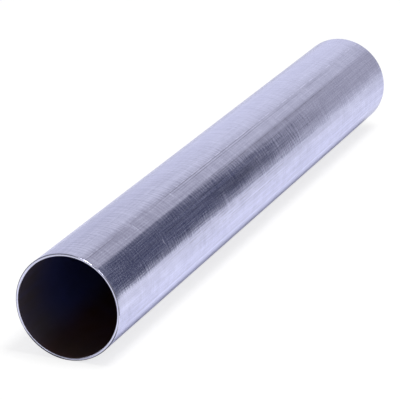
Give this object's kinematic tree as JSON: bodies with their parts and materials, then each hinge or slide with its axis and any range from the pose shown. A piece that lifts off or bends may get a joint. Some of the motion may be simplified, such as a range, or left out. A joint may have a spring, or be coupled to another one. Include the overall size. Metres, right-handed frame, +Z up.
{
  "type": "steel conduit pipe",
  "caption": "Plain-ended thin-wall steel conduit pipe: welded round tube with a dressed seam, sawn square and deburred at both ends, lying level.",
  "frame": {"origin": "on the floor under the middle of the pipe: the middle of its length, straight below its axis, at its lowest line", "axes": "+X along the pipe's axis, +Z up, and -Y is the front, the side that the weld seam is nearer to, high up on it"},
  "size_m": [0.37, 0.05, 0.05],
  "materials": {
    "steel": "bright satin steel with fine marks round the tube and faint draw lines along it, cool grey, dull and dark inside"
  },
  "bodies": {
    "root": {"conduit_pipe": "steel"}
  },
  "joints": []
}
